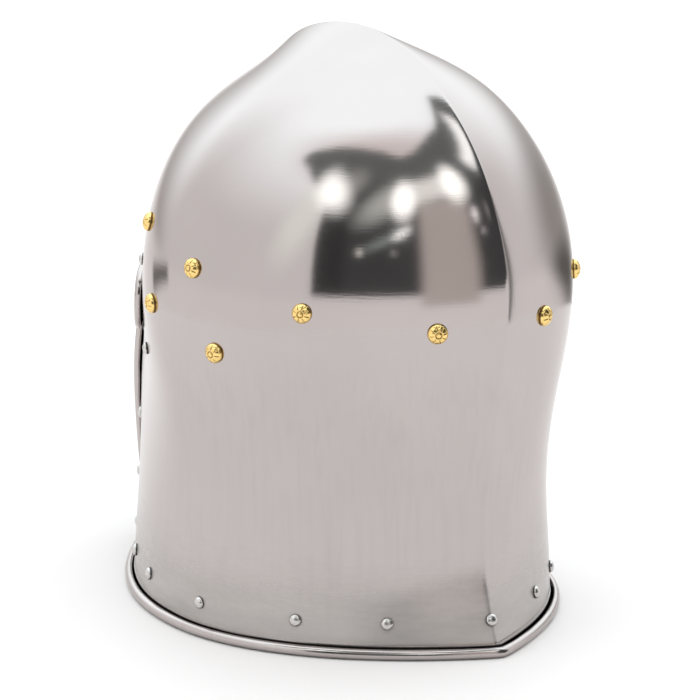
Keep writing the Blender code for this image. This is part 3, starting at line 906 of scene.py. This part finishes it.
# %% The rivet tree
tree, inputs = geometry_tree("rivets", "Rivet")
points = put(tree, "GeometryNodeMeshToPoints", Mesh=inputs.outputs["Geometry"])
away = named(tree, "outward", "FLOAT_VECTOR")
upright = put(tree, "FunctionNodeAlignRotationToVector", {"axis": "Z"}, Vector=away)
about = put(tree, "FunctionNodeAxisAngleToRotation", Axis=(0, 0, 1), Angle=named(tree, "spin"))
own = {"rotation_space": "LOCAL"}
turned = put(tree, "FunctionNodeRotateRotation", own, Rotation=upright, Rotate_By=about)
one = put(tree, "GeometryNodeObjectInfo", Object=inputs.outputs["Rivet"]).outputs["Geometry"]
size = named(tree, "size")
many = put(tree, "GeometryNodeInstanceOnPoints", Points=points, Instance=one, Rotation=turned, Scale=size)
end_tree(tree, many, inputs.outputs["Material"])
rivet_tree = tree


def set_rivets(name, seat_list, head, material, seed):
    """One mesh with this head at every seat."""
    chance = np.random.default_rng(seed)
    points, normals, _ = zip(*seat_list)
    spin = chance.uniform(0, 2 * math.pi, len(points))
    size = chance.uniform(0.95, 1.0, len(points))
    seats_object = new_object(name + "_seats", points, outward=normals, spin=spin, size=size)
    made = run_tree(seats_object, rivet_tree, {"Rivet": head, "Material": material}, name)
    bpy.data.objects.remove(head)
    return made


print("rivet tree nodes:", len(rivet_tree.nodes))

# %% [markdown]
# ## One steel rivet
#
# A rivet is a low dome with a shank, clinched inside into a flat tail. Half of its outline, turned round
# the axis, gives the whole. The dome is slightly flattened where the hammer set it.

# %% Turn the steel rivet
RIVET_RADIUS, RIVET_HEIGHT = 0.0032, 0.0024
SHANK_RADIUS, TAIL_RADIUS = 0.0015, 0.0023


def turned_shape(name, outline, sides, bend=None):
    """The outline of (radius, height) turned round Z. A bend may move each point, and knows its angle."""
    points, faces = [], []
    inner = outline[1:-1]
    for radius, height in inner:
        for j in range(sides):
            angle = 2 * math.pi * j / sides
            r, h = bend(radius, height, angle) if bend else (radius, height)
            points.append((r * math.cos(angle), r * math.sin(angle), h))
    top, bottom = len(points), len(points) + 1
    points += [(0, 0, outline[0][1]), (0, 0, outline[-1][1])]
    for j in range(sides):
        k = (j + 1) % sides
        starts = range(0, (len(inner) - 1) * sides, sides)
        faces.append((top, j, k))
        faces += [(i + j, i + sides + j, i + sides + k, i + k) for i in starts]
        faces.append((bottom, (len(inner) - 1) * sides + k, (len(inner) - 1) * sides + j))
    obj = new_object(name, points, faces)
    close_up(obj.data, sharp=55)
    return obj


def tail(start):
    """The outline of the shank and the hammered tail."""
    under = ((SHANK_RADIUS, 1), (TAIL_RADIUS, 1), (TAIL_RADIUS, 4), (0.8 * TAIL_RADIUS, 8), (0, 9))
    return [(SHANK_RADIUS, start), *((radius, -WALL - tenths * 0.0001) for radius, tenths in under)]


angles = np.radians(np.linspace(90, 4, 12))
rise = RIVET_HEIGHT - 0.0003
dome = [(RIVET_RADIUS * math.cos(a) ** 0.9, 0.0003 + rise * math.sin(a) ** 1.1) for a in angles]
dome[0] = (0, RIVET_HEIGHT)
rivet_outline = dome + [(RIVET_RADIUS, 0.0002), (0.96 * RIVET_RADIUS, -0.0001)] + tail(-0.0001)
rivet_head = turned_shape("steel_rivet", rivet_outline, 28)
# the lowest part of the head is marked for the painted shade at its foot
rivet_foot_shade = [min(1, max(0, (0.0009 - vert.co.z) / 0.0005)) for vert in rivet_head.data.vertices]
mark(rivet_head.data, "film_and_foot_shade", rivet_foot_shade)
steel_rivets = set_rivets("steel_rivets", steel_seats, rivet_head, rivet_steel, 7)
print("faces of the steel rivets:", len(steel_rivets.data.polygons))

# %% [markdown]
# ## One rosette
#
# The brass head is nearly half a ball, with a small boss in the middle, ringed by a groove, and eight petals
# parted by short chased lines. The grooves are real relief in the mesh, and each vertex notes how deep it
# lies for the brass to read. The foot of the head counts as fully deep, for painted shade where it meets the
# plate.

# %% Turn the rosette
ROSETTE_RADIUS, ROSETTE_HEIGHT, PETALS = 0.0050, 0.0037, 8
BOSS = 0.29


def groove(radius, angle):
    """How deep the chasing is here, from 0 to 1."""
    share = radius / ROSETTE_RADIUS
    around = math.exp(-(((share - BOSS) / 0.06) ** 2))
    spread = abs(math.sin(PETALS * angle / 2)) * share
    length = min(1, max(0, (share - 0.44) / 0.08)) * min(1, max(0, (0.93 - share) / 0.10))
    return max(around, math.exp(-((spread / 0.13) ** 2)) * length)


def petal(radius, height, angle):
    if height < 0.0001:
        return radius, height
    deep = groove(radius, angle)
    slope = radius / ROSETTE_RADIUS
    return radius - 0.00035 * deep * slope**2, height - 0.00042 * deep * (1 - 0.5 * slope**2)


rings = [0.12, 0.2, 0.24, *np.linspace(0.27, 0.36, 5), *np.linspace(0.42, 0.94, 12), 0.975, 0.995]
rise = ROSETTE_HEIGHT - 0.0005
cap = [(0, ROSETTE_HEIGHT)]
cap += [(share * ROSETTE_RADIUS, 0.0005 + rise * (1 - share**2) ** 0.56) for share in rings]
outline = cap + [(ROSETTE_RADIUS, 0.0003), (0.97 * ROSETTE_RADIUS, -0.0002)] + tail(-0.0002)
flower = turned_shape("rosette", outline, 96, petal)
spots = [vertex.co for vertex in flower.data.vertices]
# the foot of the head, up to 0.6 mm, counts as fully deep, for painted shade where it meets the plate
film_and_shade_shares = [groove(math.hypot(s.x, s.y), math.atan2(s.y, s.x)) if s.z > 0.0006 else 1 for s in spots]
mark(flower.data, "film_and_foot_shade", film_and_shade_shares)
brass_rosettes = set_rivets("brass_rosettes", brass_seats, flower, brass, 3)
print("faces of the rosettes:", len(brass_rosettes.data.polygons))

# %% [markdown]
# ## Fit the pieces to the frame
#
# Each new piece hides the CAD nodes that it stands for and rides on the one body of this part.

# %% Hand the pieces over
plate.data.materials.append(steel)
for piece, nodes, slot in (
    (plate, ["skull_bowl"], "polished_steel"),
    (rolled_edge, ["skull_bowl"], "polished_steel"),
    (steel_rivets, [node for _, _, node in steel_seats], "rivet_steel"),
    (brass_rosettes, [node for _, _, node in brass_seats], "brass"),
):
    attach(piece, "root")
    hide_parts(*nodes)
    print(piece.name, "stands for", len(nodes), "nodes")

# %% [markdown]
# ## The studio
#
# Polished steel shows the room more than itself, so the room gets as much care as the helmet. The table is a
# pale disc that ends where its edge shows in the steel.

# %% Set the table
TABLE_RADIUS = 0.62
angles = np.radians(range(0, 360, 3))
table_edge = [(TABLE_RADIUS * math.cos(a), TABLE_RADIUS * math.sin(a), 0) for a in angles]
floor = new_object("floor", table_edge, [range(len(table_edge))])
table_top = new_material("white_table", Base_Color=(0.95, 0.945, 0.945, 1), Roughness=0.6)[0]
floor.data.materials.append(table_top)

bpy.context.scene.view_settings.view_transform = "Standard"
print("table set")

# %% [markdown]
# The steel mirrors what stands around it, and the picture tells what that was: pale walls, a bright ceiling,
# and on the camera's side a dark room with two soft boxes, a few small lamps and one pale column. Area lights
# and black cards could stand there, but then they'd show in other views. So the World paints them by
# direction, for reflections alone, and stays plain white for everything else. Places are in degrees to the
# right of the camera and degrees up.

# %% Directions in the room
world = bpy.data.worlds.new("studio")
bpy.context.scene.world = world
world.use_nodes = True
world.cycles.sampling_method = "NONE"
room = Paint(world.node_tree)
sky = room.node("TexCoord", out=0)
east, north, height = (room.node("SeparateXYZ", out=axis, Vector=sky) for axis in range(3))
turn_from_y = east.sum("ARCTAN2", east, north * -1.0) * math.degrees(1.0)
aside = turn_from_y.sum("WRAP", turn_from_y - math.degrees(AZIMUTH), 180.0, -180.0)
rise = height.sum("ARCSINE", height) * math.degrees(1.0)


def turned_to(centre, tilt):
    """Degrees from a centre, along two axes turned by the tilt."""
    c, s = math.cos(math.radians(tilt)), math.sin(math.radians(tilt))
    across = (aside - centre[0]) * c + (rise - centre[1]) * s
    return across, (rise - centre[1]) * c - (aside - centre[0]) * s


def box(centre, half, tilt, soft):
    """A mask that is 1 in a rectangle and 0 outside it, with soft edges, all in degrees."""
    across, along = turned_to(centre, tilt)
    mask = 1.0
    for way, size in ((across, half[0]), (along, half[1])):
        mask = mask * (1 - way.sum("ABSOLUTE", way).between(size - soft, size + soft))
    return mask


def spot(centre, half, tilt, soft):
    """The same for an ellipse."""
    across, along = turned_to(centre, tilt)
    reach = ((across / half[0]).power(2.0) + (along / half[1]).power(2.0)).power(0.5)
    share = soft / min(half)
    return 1 - reach.between(max(0, 1 - share), 1 + share)


def line_over(stops):
    """A height that changes with the direction, through these stops."""
    ramp = room.node("ValToRGB", Fac=aside / 360.0 + 0.5)
    elements = ramp.socket.node.color_ramp.elements
    for index, (a, e) in enumerate(stops):
        stop = elements[index] if index < 2 else elements.new(a / 360 + 0.5)
        stop.position = a / 360 + 0.5
        stop.color = (*[e / 180 + 0.5] * 3, 1)
    return ramp * 180.0 - 90.0


print("directions ready")

# %% [markdown]
# The dark room has a curved upper edge, where the ceiling begins, and on the left it starts as a thin arm.

# %% Walls, ceiling and the dark room
WALL_LIGHT = (0.965, 0.955, 0.955, 1)
CEILING = (1.64, 1.78, 1.84, 1)
LILAC = (1.02, 0.965, 0.955, 1)
FAR_LOW = (0.56, 0.54, 0.53, 1)
TABLE_END = (1.03, 1.02, 1.02, 1)
light = room.mix(rise.between(18.0, 66.0), WALL_LIGHT, CEILING)
light = room.mix(spot((-10, 60), (54, 12), 3, 7), light, LILAC)
far_wall = room.mix(rise.between(-6.0, 25.0), FAR_LOW, CEILING)
light = room.mix(aside.sum("ABSOLUTE", aside).between(108.0, 150.0), light, far_wall)
light = room.mix(rise.between(-8.5, -1.5), TABLE_END, light)
upper = line_over((
    (-68, 52), (-60, 57), (-45, 62), (-30, 63.5), (-10, 63), (5, 60),
    (15, 62), (25, 66), (35, 69), (50, 71), (70, 76), (98, 80),
))
lower = line_over(((-68, 52), (-55, 49.5), (-44, 44), (-40, 42), (-34, 40), (-31, -40), (98, -40)))
width = aside.between(-69.0, -60.0) * (1 - aside.between(95.0, 98.0)) * rise.between(-3.4, -0.6)
dark = (upper - rise).between(-1.5, 1.5) * (rise - lower).between(-1.5, 1.5) * width
shade = room.mix(rise.between(38.0, 52.0), (0.075, 0.078, 0.08, 1), (0.163, 0.178, 0.177, 1))
shade = room.mix(box((-26, 15), (6, 22), 0, 3), shade, (0.05, 0.052, 0.053, 1))
light = room.mix(dark, light, shade)
print("dark room painted")

# %% [markdown]
# Over that go the lamps, the pale column and what else shows in the steel, each a soft-edged box or spot.

# %% Lamps and pale things
# shape, centre, half size, tilt, softness, colour
PATCHES = (
    (spot, (-43, 29), (6.5, 16), -18, 5.5, (1.20, 1.27, 1.20)),
    (spot, (-22, 48), (7, 5), 20, 4, (0.42, 0.43, 0.42)),
    (spot, (-32.5, 42.5), (10.0, 6.6), -32, 4.5, (2.2, 2.3, 2.25)),
    (spot, (-5, 38), (12, 5.5), 32, 4, (0.66, 0.70, 0.67)),
    (box, (24, 15), (11.5, 23), 0, 3.0, (0.66, 0.61, 0.58)),
    (box, (20, 43.5), (12, 5.0), 6, 2.5, (1.25, 1.28, 1.25)),
    (spot, (5.5, 39.5), (5.8, 7.8), -6, 2.8, (2.3, 2.4, 2.35)),
    (spot, (32.5, 44.5), (6.0, 8.0), 12, 3.0, (2.3, 2.4, 2.35)),
    (spot, (-4, 22.5), (8, 1.8), 24, 1.5, (0.36, 0.42, 0.41)),
    (spot, (4.5, 26), (4.2, 1.5), 24, 1.0, (2.0, 2.1, 2.1)),
    (spot, (-13.5, 18), (1.3, 1.2), 0, 1.2, (1.4, 1.4, 1.3)),
    (spot, (1, 18), (1.2, 0.8), 0, 0.8, (0.7, 0.7, 0.68)),
    (spot, (38, 30), (1.2, 2.6), 0, 1.0, (1.9, 1.9, 1.9)),
    (spot, (40, 23.5), (0.9, 0.9), 0, 0.8, (1.1, 1.1, 1.1)),
    (spot, (45, 30.5), (0.8, 3.0), 0, 0.7, (0.5, 0.5, 0.5)),
    (box, (61, 60.5), (17, 4.2), 36, 3.0, (1.9, 2.0, 2.0)),
    (box, (100, 2), (1.6, 22), 0, 1.4, (0.14, 0.14, 0.14)),
    (spot, (146, -3), (18, 10), -20, 8, (0.44, 0.43, 0.42)),
    (spot, (150, -10.5), (16, 3.2), -12, 2.5, (0.16, 0.155, 0.15)),
    (box, (-127, -9.4), (15, 2.2), 9, 2.0, (0.22, 0.215, 0.21)),
)
for draw, centre, half, tilt, soft, color in PATCHES:
    light = room.mix(draw(centre, half, tilt, soft), light, (*color, 1))
DAYLIGHT = (1.12, 1.12, 1.12, 1)
STRENGTH = 1.12
for_reflections = room.node("LightPath", out=3)
background = world.node_tree.nodes["Background"]
feed(background, "Color", room.mix(for_reflections, DAYLIGHT, light))
background.inputs["Strength"].default_value = STRENGTH
print("patches in the room:", len(PATCHES))

# %% Finish
bpy.context.view_layer.update()
